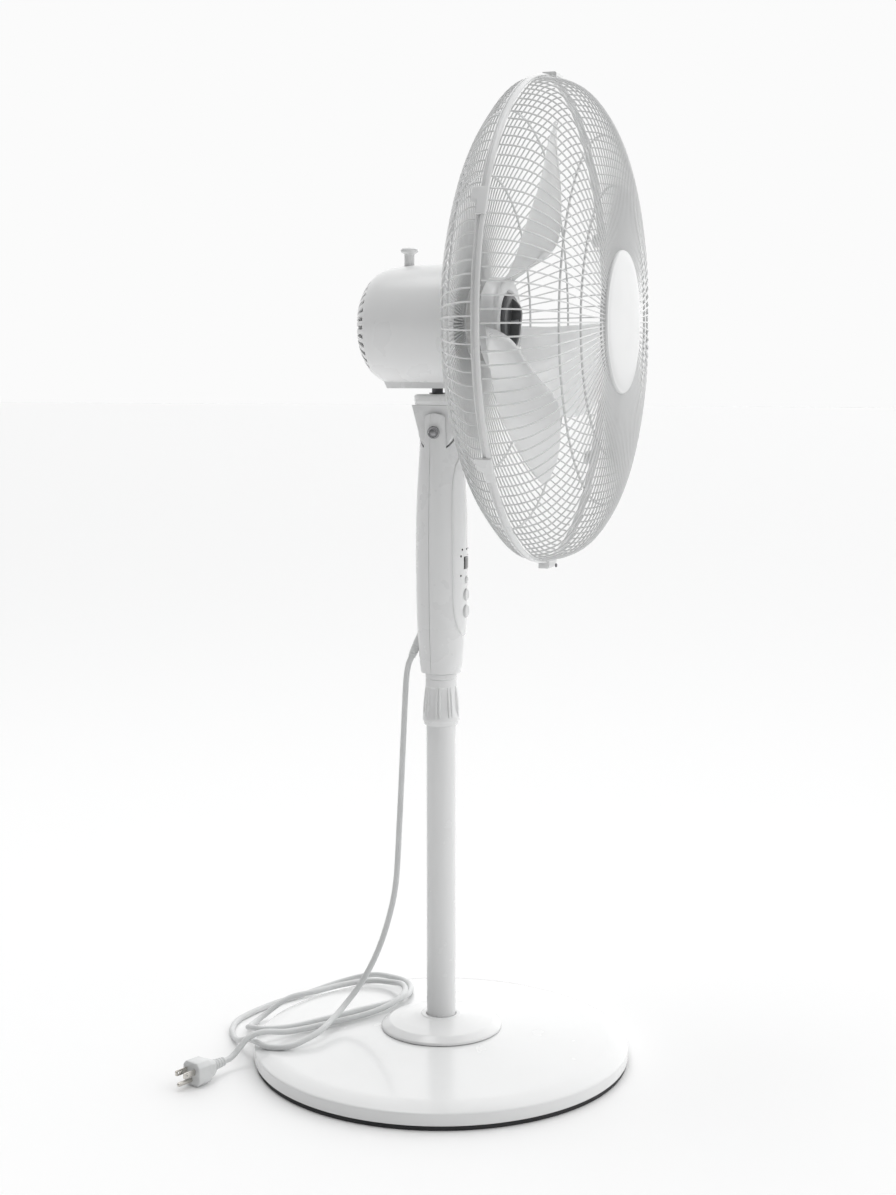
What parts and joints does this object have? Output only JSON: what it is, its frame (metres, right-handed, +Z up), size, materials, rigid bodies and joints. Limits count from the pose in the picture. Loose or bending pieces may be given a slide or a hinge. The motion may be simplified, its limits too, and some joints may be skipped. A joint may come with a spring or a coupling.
{
  "type": "pedestal fan",
  "caption": "Pedestal fan: round weighted base, telescopic pole, control column, tilting and swinging motor head with wire guard, blade and mains cord.",
  "frame": {"origin": "on the floor, on the pole's axis under the centre of the round base", "axes": "+Z up the pole, the fan blows towards -Y, +X to the right of someone facing +Y"},
  "size_m": [0.5, 0.4686, 1.06],
  "materials": {
    "white_plastic": "smooth moulded, satin to gloss",
    "white_coated_wire": "white plastic-coated steel wire",
    "white_painted_tube": "semi-gloss white powder coat",
    "blade_plastic": "smooth, slightly translucent white",
    "foot_rubber": "matt black",
    "cast_weight": "grey cast filler in a plastic skin",
    "bare_steel": "plain turned or pressed steel",
    "chrome_tube": "bright drawn tube",
    "dark_steel": "blackened steel",
    "grey_metal": "satin grey",
    "grey_nylon": "matt grey-white nylon",
    "bronze": "sintered bronze",
    "copper_winding": "enamelled copper wire",
    "dark_plastic": "dark grey moulded plastic",
    "black_window": "polished black window",
    "smoked_lens": "smoked grey lens",
    "circuit_board": "green laminate",
    "cord_sheath": "matt white flexible sheath",
    "plug_plastic": "white moulded plug",
    "pin_metal": "nickel-plated brass"
  },
  "bodies": {
    "base": {"base_shell": "white_plastic", "foot_ring": "foot_rubber", "base_weight": "cast_weight", "tube_socket": "bare_steel", "hub_cover": "white_plastic", "lower_tube": "white_painted_tube", "base_bolt": "bare_steel", "clamp_collet": "grey_nylon", "power_cord": "cord_sheath", "plug_boot": "plug_plastic", "plug_body": "plug_plastic", "plug_blade_left": "pin_metal", "plug_blade_right": "pin_metal", "plug_earth_pin": "pin_metal"},
    "collar": {"collar_nut": "white_plastic"},
    "column": {"inner_tube": "chrome_tube", "column_ferrule": "grey_nylon", "column_front_shell": "white_plastic", "column_rear_shell": "white_plastic", "control_panel": "white_plastic", "display_window": "black_window", "remote_lens": "smoked_lens", "control_board": "circuit_board", "tilt_bolt": "grey_metal", "tilt_nut": "grey_metal", "cord_gland": "cord_sheath"},
    "power_button": {"power_button": "white_plastic"},
    "speed_button": {"speed_button": "white_plastic"},
    "timer_button": {"timer_button": "white_plastic"},
    "neck": {"tilt_bracket": "white_plastic", "neck_cap": "white_plastic", "pivot_bush": "bronze", "link_post": "bare_steel"},
    "head": {"motor_cover": "white_plastic", "front_plate": "white_plastic", "stator_core": "bare_steel", "winding_front": "copper_winding", "winding_rear": "copper_winding", "end_bell_front": "bare_steel", "end_bell_rear": "bare_steel", "bearing_front": "bronze", "bearing_rear": "bronze", "gearbox": "grey_metal", "run_capacitor": "dark_plastic", "swivel_block": "bare_steel", "pivot_shaft": "dark_steel", "rear_guard": "white_coated_wire", "front_guard": "white_coated_wire", "guard_nut": "grey_nylon", "guard_ring": "white_plastic", "ring_latch": "white_plastic", "ring_screw": "dark_steel", "badge": "white_plastic"},
    "rotor": {"fan_blade": "blade_plastic", "motor_shaft": "bare_steel", "rotor_core": "bare_steel", "blade_nut": "dark_plastic"},
    "swing_knob": {"swing_knob": "white_plastic"},
    "crank": {"crank_disc": "grey_metal"},
    "link": {"link_bar": "dark_steel"}
  },
  "joints": [
    {"name": "collar_turn", "type": "hinge", "parent": "base", "child": "collar", "pos_m": [0, 0, 0.4], "axis": [0, 0, 1], "range_deg": [0, 120]},
    {"name": "height", "type": "slide", "parent": "base", "child": "column", "axis": [0, 0, 1], "range_m": [0, 0.25]},
    {"name": "tilt", "type": "hinge", "parent": "column", "child": "neck", "pos_m": [0, 0, 0.693], "axis": [1, 0, 0], "range_deg": [-20, 10]},
    {"name": "swing", "type": "hinge", "parent": "neck", "child": "head", "pos_m": [0, 0.004, 0.74], "axis": [0, 0, 1], "range_deg": [-40, 40]},
    {"name": "blade_spin", "type": "hinge", "parent": "head", "child": "rotor", "pos_m": [0, 0, 0.807], "axis": [0, -1, 0], "continuous": true},
    {"name": "swing_knob_press", "type": "slide", "parent": "head", "child": "swing_knob", "axis": [0, 0, -1], "range_m": [0, 0.008]},
    {"name": "crank_turn", "type": "hinge", "parent": "head", "child": "crank", "pos_m": [0.004, -0.0265, 0.738], "axis": [0, 0, 1], "range_deg": [-110, 110]},
    {"name": "link_turn", "type": "hinge", "parent": "neck", "child": "link", "pos_m": [0.017, -0.01, 0.7357], "axis": [0, 0, 1], "range_deg": [-78, 78]},
    {"name": "power_button_press", "type": "slide", "parent": "column", "child": "power_button", "axis": [0, 1, 0], "range_m": [0, 0.0012], "stiffness_N_per_m": 400},
    {"name": "speed_button_press", "type": "slide", "parent": "column", "child": "speed_button", "axis": [0, 1, 0], "range_m": [0, 0.0012], "stiffness_N_per_m": 400},
    {"name": "timer_button_press", "type": "slide", "parent": "column", "child": "timer_button", "axis": [0, 1, 0], "range_m": [0, 0.0012], "stiffness_N_per_m": 400}
  ],
  "couplings": [
    {"joint": "crank_turn", "follows": "swing", "ratio": -2.656},
    {"joint": "link_turn", "follows": "swing", "ratio": 1.85}
  ]
}
